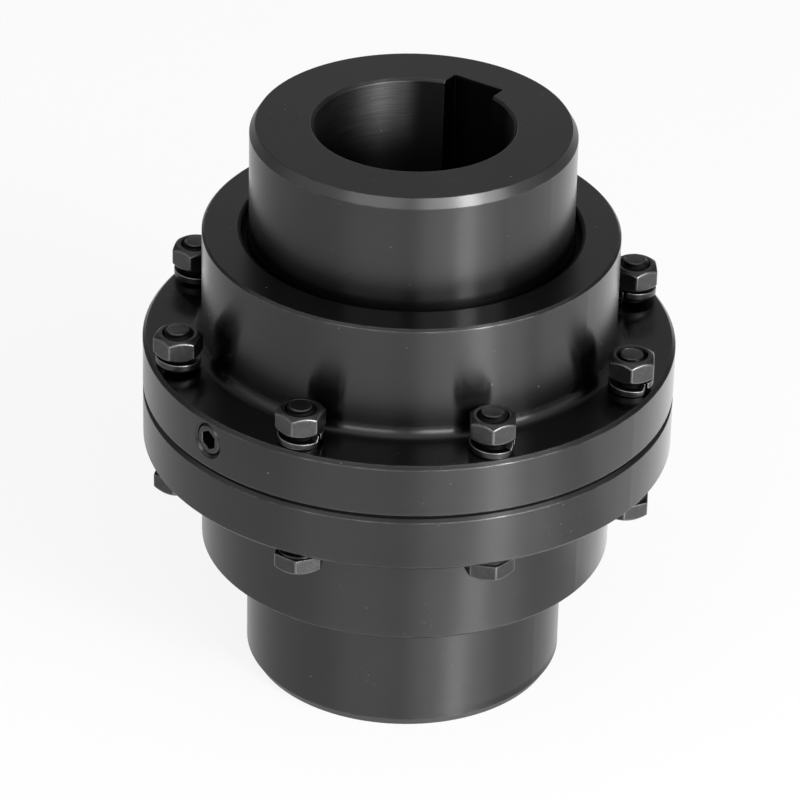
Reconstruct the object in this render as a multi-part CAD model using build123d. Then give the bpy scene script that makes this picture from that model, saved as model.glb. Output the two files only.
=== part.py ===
from build123d import *
import math
import os

# Flanged gear coupling, in millimetres. It stands on the end of its lower hub, with its axis on Z.
# Both keyways point along +Y. Every angle is measured anticlockwise from +X, seen from above.

# Hubs
hub_diameter = 90.0
hub_length = 82.0
hub_gap = 4.0
hub_chamfer = 1.6
hub_chamfer_length = 2.6
bore_diameter = 55.0
bore_chamfer = 0.8
keyway_width = 16.0
keyway_depth = 4.3
collar_length = 4.0
collar_step = 2.0
collar_chamfer = 1.0

# Teeth, whose heights are measured from the pitch circle
tooth_module = 2.5
pressure_angle = 20.0
face_width = 25.0
hub_root_step = 1.875
hub_dedendum = 3.125
hub_addendum = 2.5
sleeve_addendum = 2.0
sleeve_dedendum = 3.25
crown_radius = 81.0
flank_clearance = 0.35
cutter_overrun = 2.5

# Sleeves
sleeve_wall = 4.75
sleeve_chamfer = 0.7
flange_thickness = 16.0
flange_rim = 7.1
flange_chamfer = 1.0
flange_fillet = 3.1
gear_setback = 21.25
tooth_start = 5.0
tooth_end_play = 6.0
runout_length = 3.0
runout_relief = 0.75
lip_gap = 2.2
lip_length = 2.06
lip_chamfer = 0.5
groove_wall = 2.0

# Seal rings and joint gasket
seal_width = 4.45
seal_thickness = 3.0
seal_edge = 0.6
seal_hub_clearance = 0.05
seal_end_clearance = 0.05
seal_shift = 1.0
tilt_limit = 1.5
gasket_thickness = 0.5
gasket_setback = 2.0
gasket_inset = 0.2

# Bolts, nuts and spring washers
bolt_count = 8
bolt_phase = 8.9
bolt_diameter = 8.0
bolt_proud = 1.2
bolt_point = 1.0
bolt_hole_clearance = 0.2
hex_bevel_angle = 30.0
hex_face_share = 0.95
head_width = 12.75
head_height = 5.3
head_face_step = 0.575
head_face_height = 0.5
head_fillet_clearance = 0.5
nut_width = 12.25
nut_height = 6.5
nut_bore_clearance = 0.03
nut_countersink = 0.5
washer_thickness = 1.8
washer_width = 2.1
washer_free_height = 4.4
washer_bore_clearance = 0.15
washer_slot = 9.0

# The turn of each nut, bolt head and washer slot, how high each washer is left standing open, and how far
# each loose bolt hangs, from the first bolt round
nut_turns = [2.3, 7.0, 20.0, 35.0, 53.1, 45.6, 46.0, 4.5]
head_turns = [0.9, 16.0, 33.0, 47.0, 9.0, 54.0, 58.0, 20.9]
slot_turns = [337.0, 268.0, 120.0, 40.0, 57.0, 207.0, 355.0, 3.0]
washer_heights = [3.8, 4.2, 4.0, 4.2, 4.1, 4.1, 3.5, 4.0]
bolt_drops = [1.6, 0.0, 0.4, 0.2, 0.6, 0.4, 1.3, 0.3]

# Grease plugs
plug_phase = 257.5
plug_depth = 6.75
plug_diameter = 9.3
plug_length = 8.0
plug_chamfer = 0.7
plug_clearance = 0.05
plug_inset = 0.35
socket_width = 5.0
socket_depth = 4.5
port_depth = 9.0
port_countersink = 0.8
drill_diameter = 4.0

# Sizes across the axis, each worked out from the one inside it
hub_root_diameter = hub_diameter + 2 * hub_root_step
pitch_radius = hub_root_diameter / 2 + hub_dedendum
tooth_count = round(2 * pitch_radius / tooth_module)
hub_tip_diameter = 2 * (pitch_radius + hub_addendum)
sleeve_tip_diameter = 2 * (pitch_radius - sleeve_addendum)
sleeve_root_diameter = 2 * (pitch_radius + sleeve_dedendum)
runout_diameter = sleeve_root_diameter + 2 * runout_relief
sleeve_diameter = sleeve_root_diameter + 2 * sleeve_wall
head_face_radius = head_width / 2 - head_face_step
bolt_radius = sleeve_diameter / 2 + flange_fillet + head_fillet_clearance + head_face_radius
flange_diameter = 2 * (bolt_radius + flange_rim)
lip_diameter = hub_diameter + 2 * lip_gap
seal_outer_diameter = hub_diameter + 2 * (seal_hub_clearance + seal_width)
gasket_inner_diameter = runout_diameter + 2 * gasket_setback

# Heights along the axis, worked out from the sizes above
gear_middle = hub_length - collar_length - face_width / 2
lower_joint_face = gear_middle + gear_setback
upper_joint_face = lower_joint_face + gasket_thickness
upper_hub_base = hub_length + hub_gap
total_height = upper_hub_base + hub_length
tooth_length = face_width + tooth_end_play
seal_swing = seal_outer_diameter / 2 * math.sin(math.radians(tilt_limit)) + seal_end_clearance
seal_groove_start = tooth_start + tooth_length + runout_length + groove_wall
seal_groove_end = seal_groove_start + seal_thickness + 2 * seal_swing
seal_height = (seal_groove_start + seal_groove_end) / 2
sleeve_length = seal_groove_end + lip_length
bolt_length = 2 * flange_thickness + gasket_thickness + washer_free_height + nut_height + bolt_proud


def turned(points):
    """Solid of revolution about Z from corner points given as (radius, height)."""
    outline = Polyline([(r, 0, z) for r, z in points], close=True)
    return revolve(make_face(outline), Axis.Z)


def polar(radius, angle, height=0.0):
    """Place on a circle about the axis, turned so that local X points outwards."""
    return Rot(Z=angle) * Pos(radius, 0, height)


def tooth_space(inner_radius, outer_radius, flank_angle):
    """Face of one space between teeth, on +X, as wide as half a pitch plus its share of the clearance."""
    half_pitch_angle = 90.0 / tooth_count
    flank_share = flank_clearance / 2 / math.cos(math.radians(pressure_angle))
    pitch_half_width = pitch_radius * math.sin(math.radians(half_pitch_angle)) + flank_share
    slope = math.tan(math.radians(flank_angle))
    inner_half = pitch_half_width + (inner_radius - pitch_radius) * slope
    outer_half = pitch_half_width + (outer_radius - pitch_radius) * slope
    return make_face(
        Polyline(
            (inner_radius, -inner_half),
            (outer_radius, -outer_half),
            (outer_radius, outer_half),
            (inner_radius, inner_half),
            close=True,
        )
    )


def around_teeth(cutter):
    """One copy of a cutter in each tooth space."""
    step = 360.0 / tooth_count
    return [Rot(Z=step * index) * cutter for index in range(tooth_count)]


def hub_tooth_cutter():
    """The curved sweep of one tooth space, whose arc over the face makes the teeth barrel-shaped."""
    flank_angle = pressure_angle + 90.0 / tooth_count
    outer_radius = hub_tip_diameter / 2 + cutter_overrun
    space = tooth_space(hub_root_diameter / 2, outer_radius, flank_angle)
    swing_axis = Axis((pitch_radius - crown_radius, 0, 0), (0, 1, 0))
    root_swing_radius = hub_root_diameter / 2 - pitch_radius + crown_radius
    reach = math.degrees(math.asin((face_width / 2 + cutter_overrun) / root_swing_radius))
    return revolve(space.rotate(swing_axis, -reach), swing_axis, 2 * reach)


def hub_blank():
    """Turned hub without teeth: the outer end at height 0, and the gear ring near the inner end."""
    hub_radius = hub_diameter / 2
    bore_radius = bore_diameter / 2
    collar_radius = hub_radius - collar_step
    tip_radius = hub_tip_diameter / 2
    tip_edge = math.sqrt(tip_radius**2 - (face_width / 2) ** 2)
    gear_start = gear_middle - face_width / 2
    gear_end = gear_middle + face_width / 2
    lower_run = Polyline(
        (tip_edge, 0, gear_start),
        (hub_radius, 0, gear_start),
        (hub_radius, 0, hub_chamfer_length),
        (hub_radius - hub_chamfer, 0, 0),
        (bore_radius + bore_chamfer, 0, 0),
        (bore_radius, 0, bore_chamfer),
        (bore_radius, 0, hub_length - bore_chamfer),
        (bore_radius + bore_chamfer, 0, hub_length),
        (collar_radius - collar_chamfer, 0, hub_length),
        (collar_radius, 0, hub_length - collar_chamfer),
        (collar_radius, 0, gear_end),
        (tip_edge, 0, gear_end),
    )
    crown = ThreePointArc((tip_edge, 0, gear_end), (tip_radius, 0, gear_middle), (tip_edge, 0, gear_start))
    return revolve(make_face(lower_run + crown), Axis.Z)


def hub():
    """Hub with barrel-shaped teeth, bore and keyway, its outer end at height 0."""
    cutter = Pos(0, 0, gear_middle) * hub_tooth_cutter()
    keyway_floor = bore_diameter / 2 + keyway_depth
    keyway = Pos(0, keyway_floor / 2, hub_length / 2) * Box(keyway_width, keyway_floor, hub_length)
    return hub_blank() - around_teeth(cutter) - keyway


def sleeve_blank():
    """Turned sleeve without teeth: the joint face at height 0, and the lip at the far end."""
    flange_radius = flange_diameter / 2
    sleeve_radius = sleeve_diameter / 2
    lip_radius = lip_diameter / 2
    runout_radius = runout_diameter / 2
    groove_radius = seal_outer_diameter / 2 + seal_shift
    tooth_end = tooth_start + tooth_length
    shoulder = tooth_end + runout_length
    fillet_low = (sleeve_radius + flange_fillet, 0, flange_thickness)
    fillet_high = (sleeve_radius, 0, flange_thickness + flange_fillet)
    fillet_sink = flange_fillet * (1 - math.sqrt(0.5))
    fillet_middle = (sleeve_radius + fillet_sink, 0, flange_thickness + fillet_sink)
    outline = Polyline(
        fillet_high,
        (sleeve_radius, 0, sleeve_length - sleeve_chamfer),
        (sleeve_radius - sleeve_chamfer, 0, sleeve_length),
        (lip_radius + lip_chamfer, 0, sleeve_length),
        (lip_radius, 0, sleeve_length - lip_chamfer),
        (lip_radius, 0, seal_groove_end),
        (groove_radius, 0, seal_groove_end),
        (groove_radius, 0, seal_groove_start),
        (lip_radius, 0, seal_groove_start),
        (lip_radius, 0, shoulder),
        (runout_radius, 0, shoulder),
        (runout_radius, 0, tooth_end),
        (sleeve_tip_diameter / 2, 0, tooth_end),
        (sleeve_tip_diameter / 2, 0, tooth_start),
        (runout_radius, 0, tooth_start),
        (runout_radius, 0, 0),
        (flange_radius - flange_chamfer, 0, 0),
        (flange_radius, 0, flange_chamfer),
        (flange_radius, 0, flange_thickness - flange_chamfer),
        (flange_radius - flange_chamfer, 0, flange_thickness),
        fillet_low,
    )
    fillet_arc = ThreePointArc(fillet_low, fillet_middle, fillet_high)
    return revolve(make_face(outline + fillet_arc), Axis.Z)


def bolt_holes(height):
    """Round cutters on the bolt circle, from height 0 up."""
    hole = Cylinder(bolt_diameter / 2 + bolt_hole_clearance, height, align=(Align.CENTER, Align.CENTER, Align.MIN))
    return [polar(bolt_radius, bolt_angle(index)) * hole for index in range(bolt_count)]


def bolt_angle(index):
    """Angle of a bolt about the axis."""
    return bolt_phase + 360.0 * index / bolt_count


def sleeve():
    """Flanged sleeve with straight internal teeth, its joint face at height 0."""
    flank_angle = 90.0 / tooth_count - pressure_angle
    space = tooth_space(sleeve_tip_diameter / 2 - cutter_overrun, sleeve_root_diameter / 2, flank_angle)
    cutter = Pos(0, 0, tooth_start) * extrude(space, tooth_length)
    half_step = Rot(Z=180.0 / tooth_count)
    cutters = [half_step * each for each in around_teeth(cutter)]
    return sleeve_blank() - cutters


def plug_place(angle):
    """Place of a grease plug on the upper flange's rim, with local Z pointing outwards."""
    middle = upper_joint_face + flange_thickness - plug_depth
    return Rot(Z=angle) * Pos(flange_diameter / 2, 0, middle) * Rot(Y=90)


def plug_port():
    """Cutter of a tapped grease port: countersink, thread hole and drilling to the teeth."""
    thread_radius = plug_diameter / 2
    drill_radius = drill_diameter / 2
    drill_depth = (flange_diameter - sleeve_tip_diameter) / 2 + cutter_overrun
    mouth = thread_radius + port_countersink + cutter_overrun
    return turned(
        [
            (0, cutter_overrun),
            (mouth, cutter_overrun),
            (thread_radius, -port_countersink),
            (thread_radius, -port_depth),
            (drill_radius, -port_depth - thread_radius + drill_radius),
            (drill_radius, -drill_depth),
            (0, -drill_depth),
        ]
    )


def grease_plug():
    """Headless plug with a hexagon socket, its outer face at height 0."""
    radius = plug_diameter / 2 - plug_clearance
    body = turned(
        [
            (0, 0),
            (radius - plug_chamfer, 0),
            (radius, -plug_chamfer),
            (radius, -plug_length + plug_chamfer),
            (radius - plug_chamfer, -plug_length),
            (0, -plug_length),
        ]
    )
    hexagon = RegularPolygon(socket_width / 2, 6, major_radius=False)
    return body - extrude(hexagon, -socket_depth)


def bevelled_hexagon(width, height, low_bevel, high_bevel):
    """Hexagonal prism from height 0, its corners turned off at the ends that are asked for."""
    flat_radius = width / 2
    corner_radius = flat_radius / math.cos(math.radians(30.0))
    face_radius = hex_face_share * flat_radius
    drop = (corner_radius - face_radius) * math.tan(math.radians(hex_bevel_angle))
    low = [(face_radius, 0), (corner_radius, drop)] if low_bevel else [(corner_radius, 0)]
    high = [(corner_radius, height - drop), (face_radius, height)] if high_bevel else [(corner_radius, height)]
    prism = extrude(RegularPolygon(flat_radius, 6, major_radius=False), height)
    return prism & turned([(0, 0)] + low + high + [(0, height)])


def bolt():
    """Hexagon bolt with its bearing face at height 0, shank up and head below."""
    radius = bolt_diameter / 2
    shank = turned(
        [
            (0, -head_face_height),
            (head_face_radius, -head_face_height),
            (head_face_radius, 0),
            (radius, 0),
            (radius, bolt_length - bolt_point),
            (radius - bolt_point, bolt_length),
            (0, bolt_length),
        ]
    )
    head = bevelled_hexagon(head_width, head_height - head_face_height, True, False)
    return Pos(0, 0, -head_height) * head + shank


def nut():
    """Hexagon nut with its lower face at height 0 and both bore edges countersunk."""
    radius = bolt_diameter / 2 + nut_bore_clearance
    bore = turned(
        [
            (0, 0),
            (radius + nut_countersink, 0),
            (radius, nut_countersink),
            (radius, nut_height - nut_countersink),
            (radius + nut_countersink, nut_height),
            (0, nut_height),
        ]
    )
    return bevelled_hexagon(nut_width, nut_height, True, True) - bore


def spring_washer(height):
    """Open coil of flat wire, left-handed and so high, its low end on height 0 beside +X."""
    inner_radius = bolt_diameter / 2 + washer_bore_clearance
    middle_radius = inner_radius + washer_width / 2
    turn_share = 1 - washer_slot / 360.0
    rise = height - washer_thickness
    wire_path = Helix(rise / turn_share, rise, middle_radius, (0, 0, washer_thickness / 2), lefthand=True)
    wire = Plane(wire_path @ 0, x_dir=(1, 0, 0), z_dir=wire_path % 0) * Rectangle(washer_width, washer_thickness)
    return Rot(Z=-washer_slot / 2) * sweep(wire, wire_path, is_frenet=True)


def seal_ring():
    """Rubber ring round a hub, centred on height 0, its inner edges bevelled to a lip."""
    inner_radius = hub_diameter / 2 + seal_hub_clearance
    outer_radius = seal_outer_diameter / 2
    half = seal_thickness / 2
    return turned(
        [
            (inner_radius, -half + 2 * seal_edge),
            (inner_radius + seal_edge, -half),
            (outer_radius - seal_edge, -half),
            (outer_radius, -half + seal_edge),
            (outer_radius, half - seal_edge),
            (outer_radius - seal_edge, half),
            (inner_radius + seal_edge, half),
            (inner_radius, half - 2 * seal_edge),
        ]
    )


def joint_gasket():
    """Flat ring between the flanges, holed for the bolts."""
    outer_radius = flange_diameter / 2 - flange_chamfer - gasket_inset
    ring = Circle(outer_radius) - Circle(gasket_inner_diameter / 2)
    return extrude(ring, gasket_thickness) - bolt_holes(gasket_thickness)


def main_pieces():
    """The hubs, sleeves, seal rings and gasket by name."""
    plain_hub = hub()
    drilled_sleeve = sleeve() - bolt_holes(flange_thickness)
    upper_sleeve = Pos(0, 0, upper_joint_face) * drilled_sleeve
    ports = [plug_place(plug_phase + half_turn) * plug_port() for half_turn in (0.0, 180.0)]
    upside_down = mirror(drilled_sleeve, Plane.XY)
    return {
        "lower_hub": plain_hub,
        "upper_hub": Pos(0, 0, total_height) * mirror(plain_hub, Plane.XY),
        "lower_sleeve": Pos(0, 0, lower_joint_face) * upside_down,
        "upper_sleeve": upper_sleeve - ports,
        "lower_seal_ring": Pos(0, 0, lower_joint_face - seal_height) * seal_ring(),
        "upper_seal_ring": Pos(0, 0, upper_joint_face + seal_height) * seal_ring(),
        "joint_gasket": Pos(0, 0, lower_joint_face) * joint_gasket(),
    }


def fasteners():
    """Each bolt with its nut and spring washer, and the two grease plugs, by name."""
    bearing_face = lower_joint_face - flange_thickness
    nut_side = upper_joint_face + flange_thickness
    plain_bolt, plain_nut, plain_plug = bolt(), nut(), grease_plug()
    pieces = {}
    for index in range(bolt_count):
        seat = polar(bolt_radius, bolt_angle(index)) * Rot(Z=-bolt_angle(index))
        number = index + 1
        setting = index % len(nut_turns)
        bolt_base = bearing_face - bolt_drops[setting]
        pieces[f"bolt_{number}"] = seat * Pos(0, 0, bolt_base) * Rot(Z=head_turns[setting]) * plain_bolt
        washer = spring_washer(washer_heights[setting])
        pieces[f"spring_washer_{number}"] = seat * Pos(0, 0, nut_side) * Rot(Z=slot_turns[setting]) * washer
        nut_base = nut_side + washer_heights[setting]
        pieces[f"nut_{number}"] = seat * Pos(0, 0, nut_base) * Rot(Z=nut_turns[setting]) * plain_nut
    for number, half_turn in ((1, 0.0), (2, 180.0)):
        inset = Pos(0, 0, -plug_inset)
        pieces[f"grease_plug_{number}"] = plug_place(plug_phase + half_turn) * inset * plain_plug
    return pieces


os.makedirs("parts", exist_ok=True)
for name, piece in (main_pieces() | fasteners()).items():
    export_step(piece, f"parts/{name}.step")
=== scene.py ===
"""Looks of the flanged gear coupling: its turned steel, its fasteners, and a plain studio round it."""

import logging
import math
from dataclasses import dataclass
from enum import Enum, IntEnum
from typing import Callable, Iterator

import bmesh
import bpy
from mathutils import Matrix, Vector


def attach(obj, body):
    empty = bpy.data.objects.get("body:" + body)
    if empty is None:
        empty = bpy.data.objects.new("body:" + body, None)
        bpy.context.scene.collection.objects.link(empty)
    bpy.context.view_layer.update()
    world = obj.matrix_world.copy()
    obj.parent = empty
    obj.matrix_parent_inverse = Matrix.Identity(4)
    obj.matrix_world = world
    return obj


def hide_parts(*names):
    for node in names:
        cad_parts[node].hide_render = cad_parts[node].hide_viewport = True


Piece = bpy.types.Object
Material = bpy.types.Material

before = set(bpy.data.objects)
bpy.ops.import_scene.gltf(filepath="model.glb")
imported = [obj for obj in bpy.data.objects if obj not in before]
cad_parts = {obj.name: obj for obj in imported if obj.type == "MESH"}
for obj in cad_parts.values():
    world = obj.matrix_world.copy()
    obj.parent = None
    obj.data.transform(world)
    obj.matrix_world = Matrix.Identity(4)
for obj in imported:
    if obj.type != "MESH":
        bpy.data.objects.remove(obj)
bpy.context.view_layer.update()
log = logging.getLogger("gear_coupling")

MM = 0.001
BODY_OF_SLEEVES = "sleeves"
BEVEL_SAMPLES = 6

# The Mix node's colour sockets go by number, since their names are given to others too
MIX_UNDER = 6
MIX_OVER = 7
MIX_RESULT = 2


# Shader maths


class Signal:
    """A socket's value in a material, on which sums can be written."""

    def __init__(self, recipe: "Recipe", socket: bpy.types.NodeSocket) -> None:
        """Keeps the socket and the recipe that it belongs to."""
        self.recipe = recipe
        self.socket = socket

    def _math(self, operation: str, first: object, second: object) -> "Signal":
        """Adds one Math node."""
        return self.recipe.node("Math", {0: first, 1: second}, operation=operation)

    def __add__(self, other: object) -> "Signal":
        """self + other."""
        return self._math("ADD", self, other)

    __radd__ = __add__

    def __mul__(self, other: object) -> "Signal":
        """self * other."""
        return self._math("MULTIPLY", self, other)

    __rmul__ = __mul__

    def __sub__(self, other: object) -> "Signal":
        """self - other."""
        return self._math("SUBTRACT", self, other)

    def __rsub__(self, other: object) -> "Signal":
        """other - self."""
        return self._math("SUBTRACT", other, self)

    def __truediv__(self, other: object) -> "Signal":
        """self / other."""
        return self._math("DIVIDE", self, other)

    def __pow__(self, other: object) -> "Signal":
        """self ** other."""
        return self._math("POWER", self, other)


class Recipe:
    """A material's node tree, with the few calls that fill it."""

    def __init__(self, name: str = "", tree: bpy.types.NodeTree | None = None) -> None:
        """Makes an empty material of that name, or empties a world's tree."""
        if tree is None:
            self.material = bpy.data.materials.new(name)
            self.material.use_nodes = True
            tree = self.material.node_tree
        self.tree = tree
        self.tree.nodes.clear()

    def node(self, kind: str, sockets: dict, output: object = 0, **settings: object) -> Signal:
        """Adds a node.

        Args:
            kind: the node's type, without the words ShaderNode.
            sockets: a number, colour or Signal for each named or numbered input.
            output: name or number of the output that is wanted.
            settings: properties, which are set before the inputs.

        Returns:
            The output as a Signal.
        """
        made = self.tree.nodes.new("ShaderNode" + kind)
        for key, value in settings.items():
            setattr(made, key, value)
        for key, value in sockets.items():
            if isinstance(value, Signal):
                self.tree.links.new(value.socket, made.inputs[key])
            else:
                made.inputs[key].default_value = value
        return Signal(self, made.outputs[output] if made.outputs else None)

    def place(self) -> Signal:
        """The point on the piece, in the object's own coordinates."""
        return self.node("TexCoord", {}, "Object")

    def vector(self, operation: str, sockets: dict, output: object = 0) -> Signal:
        """Adds one Vector Math node."""
        return self.node("VectorMath", sockets, output, operation=operation)

    def part(self, place: Signal, axis: str) -> Signal:
        """One coordinate of a point."""
        return self.node("SeparateXYZ", {0: place}, axis)

    def clamp(self, value: Signal) -> Signal:
        """The value, kept between 0 and 1."""
        return self.node("Clamp", {"Value": value})

    def noise(self, where: Signal, scale: float, detail: float = 2.0) -> Signal:
        """Soft noise between 0 and 1, its scale in blobs per metre and its detail in finer layers."""
        sockets = {"Vector": where, "Scale": scale, "Detail": detail}
        return self.node("TexNoise", sockets, "Fac")

    def fade(self, value: Signal, start: float, end: float) -> Signal:
        """A smooth step from 0 at start to 1 at end."""
        sockets = {"Value": value, "From Min": start, "From Max": end}
        return self.node("MapRange", sockets, interpolation_type="SMOOTHSTEP")

    def blend(self, amount: Signal, under: object, over: object) -> Signal:
        """Two colours mixed by an amount."""
        sockets = {"Factor": amount, MIX_UNDER: under, MIX_OVER: over}
        return self.node("Mix", sockets, MIX_RESULT, data_type="RGBA")

    def tint(self, level: float, light: Signal) -> Signal:
        """A grey of that level, scaled by a varying light."""
        return self.vector("SCALE", {0: grey(level)[:3], "Scale": light})

    def bump(self, height: Signal, strength: float, depth: float, edge_round: float = 0.0) -> Signal:
        """Small relief on the surface, for a shader's Normal.

        Args:
            height: the relief.
            strength: its share, from 0 to 1.
            depth: its depth in metres.
            edge_round: the radius in metres to which sharp edges look rounded.

        Returns:
            The bent normal.
        """
        sockets = {"Height": height, "Strength": strength, "Distance": depth}
        if edge_round:
            sockets["Normal"] = self.node("Bevel", {"Radius": edge_round}, "Normal", samples=BEVEL_SAMPLES)
        return self.node("Bump", sockets, "Normal")

    def surface(self, sockets: dict) -> Material:
        """Finishes the material with one main shader that has these inputs."""
        return self.close(self.node("BsdfPrincipled", sockets))

    def close(self, shader: Signal) -> Material:
        """Sends a shader to the material's output, which finishes the material."""
        self.node("OutputMaterial", {"Surface": shader})
        return self.material


# Finishes


def grey(level: float) -> tuple[float, float, float, float]:
    """A neutral colour of that linear level."""
    return (level, level, level, 1.0)


# The width of a zone's border, and an inner radius that takes in everything from the axis outwards
SOFT_BORDER = 0.1
FROM_AXIS = -1.0


@dataclass(frozen=True)
class Zone:
    """A ring-shaped part of a turned piece, in millimetres, with soft borders."""

    inner: float
    outer: float
    low: float
    high: float
    softness: float = SOFT_BORDER
    low_fade: float = SOFT_BORDER
    high_fade: float = SOFT_BORDER

    def share(self, recipe: Recipe, radius: Signal, height: Signal) -> Signal:
        """1 inside the zone and 0 outside, for a radius and height in metres."""
        soft = self.softness * MM
        across = recipe.fade(radius, self.inner * MM, self.inner * MM + soft)
        across = across * (1.0 - recipe.fade(radius, self.outer * MM - soft, self.outer * MM))
        above = recipe.fade(height, self.low * MM, (self.low + self.low_fade) * MM)
        below = 1.0 - recipe.fade(height, (self.high - self.high_fade) * MM, self.high * MM)
        return across * above * below


@dataclass(frozen=True)
class Dust:
    """Pale dust: a few large specks, and fine ones in patches. Sizes are in metres.

    A speck's reach is its radius as a share of the spacing, and its core is the share of that which is full.
    """

    shade: float = 0.20
    spacing: float = 0.0055
    reach: float = 0.055
    fine_spacing: float = 0.0017
    fine_reach: float = 0.17
    fine_share: float = 0.5
    core: float = 0.4
    rarity: float = 0.48
    patch_size: float = 0.022
    patch_start: float = 0.55
    patch_full: float = 0.68
    roughening: float = 0.2
    metal_loss: float = 0.6

    def share(self, recipe: Recipe, place: Signal) -> Signal:
        """How much of each point the dust covers."""
        patch_noise = recipe.noise(place, 1.0 / self.patch_size, detail=1.0)
        patches = recipe.fade(patch_noise, self.patch_start, self.patch_full)
        large = self.specks(recipe, place, self.spacing, self.reach)
        fine = self.specks(recipe, place, self.fine_spacing, self.fine_reach)
        return recipe.clamp(large + self.fine_share * patches * fine)

    def specks(self, recipe: Recipe, place: Signal, spacing: float, reach: float) -> Signal:
        """Specks that lie about a spacing apart, some of them left out."""
        sockets = {"Vector": place, "Scale": 1.0 / spacing}
        distance = recipe.node("TexVoronoi", sockets, "Distance", feature="F1")
        colour = recipe.node("TexVoronoi", sockets, "Color", feature="F1")
        chance = recipe.node("SeparateColor", {0: colour}, "Red")
        kept = recipe.fade(chance, self.rarity, 1.0)
        return kept * (1.0 - recipe.fade(distance, self.core * reach, reach))


@dataclass(frozen=True)
class TurnedSteel:
    """Blackened steel off a lathe: fine rings round the axis, faint blotches, dust, and rubbed edges.

    Edges are the circles (radius, height) in millimetres along which the black is rubbed thin. The bore is
    rough and painted near-black as the shade deep inside it. Its honed mouth is paler, and that paleness
    fades with depth into the painted shade. Beside the keyway, which lies on +Y, painted shade takes the
    place of the honed paleness.
    The ground chamfer is duller than the rest. The greasy shaded gap is dull with grease and painted dark as
    the shade in the gap between hub and sleeve. Sizes of the finish are in metres.
    """

    name: str
    edges: tuple[tuple[float, float], ...]
    greasy_shaded_gap: Zone
    bore: Zone | None = None
    honed: Zone | None = None
    ground: Zone | None = None
    dust: Dust = Dust()

    shade: float = 0.054
    plain_light: float = 0.76
    ring_light: float = 0.22
    blotch_light: float = 0.28
    rubbed_shade: float = 0.11
    ground_shade: float = 0.1
    # painted shade: the deep bore and its keyway are coloured near-black where shade falls inside the hub
    painted_bore_shade: float = 0.008
    honed_shade: float = 0.088
    honed_light: float = 0.45
    brush_light: float = 1.1
    # painted shade, with grease: the hidden hub wall and the sleeve's inner faces are dark as the gap's shade
    greasy_gap_shade: float = 0.007

    roughness: float = 0.24
    roughness_drop: float = 0.05
    ring_roughness: float = 0.05
    blotch_roughness: float = 0.06
    ground_roughness: float = 0.38
    honed_roughness: float = 0.4
    brush_roughness: float = 0.1
    greasy_gap_roughness: float = 0.5

    ring_pitch: float = 0.0011
    blotch_size: float = 0.045
    grain_scale: float = 1800.0
    ring_relief: float = 0.5
    grain_relief: float = 0.2
    relief_strength: float = 0.5
    relief_depth: float = 0.000012
    edge_round: float = 0.0004

    brush_pitch: float = 0.0004
    brush_length: float = 0.01
    brush_depth: float = 2.0
    # painted shade beside the keyway on +Y: the honed paleness there gives way to the bore's painted
    # near-black
    keyway_side_shade: float = 0.85
    keyway_shade_start: float = 0.76
    keyway_shade_full: float = 0.88

    edge_width: float = 0.0004
    break_scale: float = 260.0
    break_start: float = 0.25
    break_full: float = 0.75

    stretch: float = 0.85
    stretch_turn: float = 0.25

    def material(self) -> Material:
        """Builds the material."""
        recipe = Recipe(self.name)
        place = recipe.place()
        across, along, height = (recipe.part(place, axis) for axis in "XYZ")
        radius = (across * across + along * along) ** 0.5
        lathe_place = recipe.node("CombineXYZ", {"X": radius, "Z": height})
        rings = recipe.noise(lathe_place, 1.0 / self.ring_pitch, detail=3.0)
        blotches = recipe.noise(place, 1.0 / self.blotch_size, detail=4.0)
        grain = recipe.noise(place, self.grain_scale)
        light = self.plain_light + self.ring_light * rings + self.blotch_light * blotches
        rubbed = self.rubbed(recipe, place, radius, height)
        colour = recipe.blend(rubbed, recipe.tint(self.shade, light), grey(self.rubbed_shade))
        roughness = self.roughness - self.roughness_drop
        roughness = roughness + self.blotch_roughness * blotches + self.ring_roughness * rings
        relief = self.ring_relief * rings + self.grain_relief * grain
        # The bore is painted near-black as its inner shade; the honed mouth is paler and fades into that
        # painted shade with depth.
        if self.bore and self.honed:
            bore = self.bore.share(recipe, radius, height)
            # Painted shade beside the keyway, on +Y.
            beside_keyway = recipe.fade(along / radius, self.keyway_shade_start, self.keyway_shade_full)
            honed = self.honed.share(recipe, radius, height) * (1.0 - self.keyway_side_shade * beside_keyway)
            brushed = self.brushed(recipe, place)
            honed_colour = recipe.tint(self.honed_shade, self.honed_light + self.brush_light * brushed)
            colour = recipe.blend(honed, recipe.blend(bore, colour, grey(self.painted_bore_shade)), honed_colour)
            duller = self.honed_roughness - self.roughness
            roughness = roughness + bore * (duller + self.brush_roughness * brushed)
            relief = relief + self.brush_depth * honed * brushed
        if self.ground:
            ground = self.ground.share(recipe, radius, height)
            colour = recipe.blend(ground, colour, grey(self.ground_shade))
            roughness = roughness + (self.ground_roughness - self.roughness) * ground
        # Painted shade, with grease, in the gap between hub and sleeve: dark and dull.
        greasy_shaded_gap = self.greasy_shaded_gap.share(recipe, radius, height)
        dust = self.dust.share(recipe, place)
        colour = recipe.blend(dust, recipe.blend(greasy_shaded_gap, colour, grey(self.greasy_gap_shade)), grey(self.dust.shade))
        roughness = roughness + (self.greasy_gap_roughness - self.roughness) * greasy_shaded_gap + self.dust.roughening * dust
        return recipe.surface(
            {
                "Base Color": colour,
                "Metallic": 1.0 - self.dust.metal_loss * dust,
                "Roughness": roughness,
                "Normal": recipe.bump(relief, self.relief_strength, self.relief_depth, self.edge_round),
                "Anisotropic": self.stretch,
                "Anisotropic Rotation": self.stretch_turn,
            }
        )

    def brushed(self, recipe: Recipe, place: Signal) -> Signal:
        """Fine streaks along the turn."""
        along = 1.0 / self.brush_length
        upward = 1.0 / self.brush_pitch
        stretched = recipe.vector("MULTIPLY", {0: place, 1: (along, along, upward)})
        return recipe.noise(stretched, 1.0, detail=3.0)

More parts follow.
